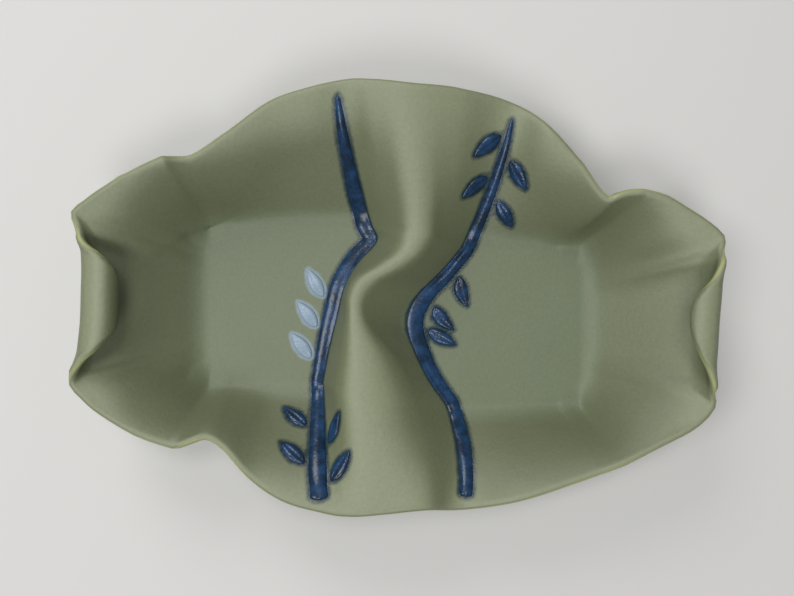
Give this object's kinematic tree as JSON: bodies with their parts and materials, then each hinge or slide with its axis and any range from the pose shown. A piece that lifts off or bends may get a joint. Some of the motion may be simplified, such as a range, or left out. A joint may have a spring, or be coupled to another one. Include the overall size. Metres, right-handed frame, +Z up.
{
  "type": "divided serving dish",
  "caption": "Hand-built stoneware serving dish with two basins parted by an S-shaped fold of the slab, rolled-in grip ends, and leaf sprigs on coils laid beside the fold.",
  "frame": {"origin": "on the table, under the middle of the dish's bounding box", "axes": "+X along the dish from the left basin to the right one, +Y across it towards the back rim, +Z up"},
  "size_m": [0.3892, 0.2582, 0.0656],
  "materials": {
    "sage_glaze": "matte sage green glaze with fine speckle",
    "navy_glaze": "glossy navy blue glaze",
    "pale_blue_glaze": "satin pale blue glaze"
  },
  "bodies": {
    "root": {"dish_slab": "sage_glaze", "left_coil": "navy_glaze", "right_coil": "navy_glaze", "left_leaf_1": "navy_glaze", "left_leaf_2": "navy_glaze", "left_leaf_3": "navy_glaze", "left_leaf_4": "navy_glaze", "left_leaf_5": "pale_blue_glaze", "left_leaf_6": "pale_blue_glaze", "left_leaf_7": "pale_blue_glaze", "right_leaf_1": "navy_glaze", "right_leaf_2": "navy_glaze", "right_leaf_3": "navy_glaze", "right_leaf_4": "navy_glaze", "right_leaf_5": "navy_glaze", "right_leaf_6": "navy_glaze", "right_leaf_7": "navy_glaze"}
  },
  "joints": []
}
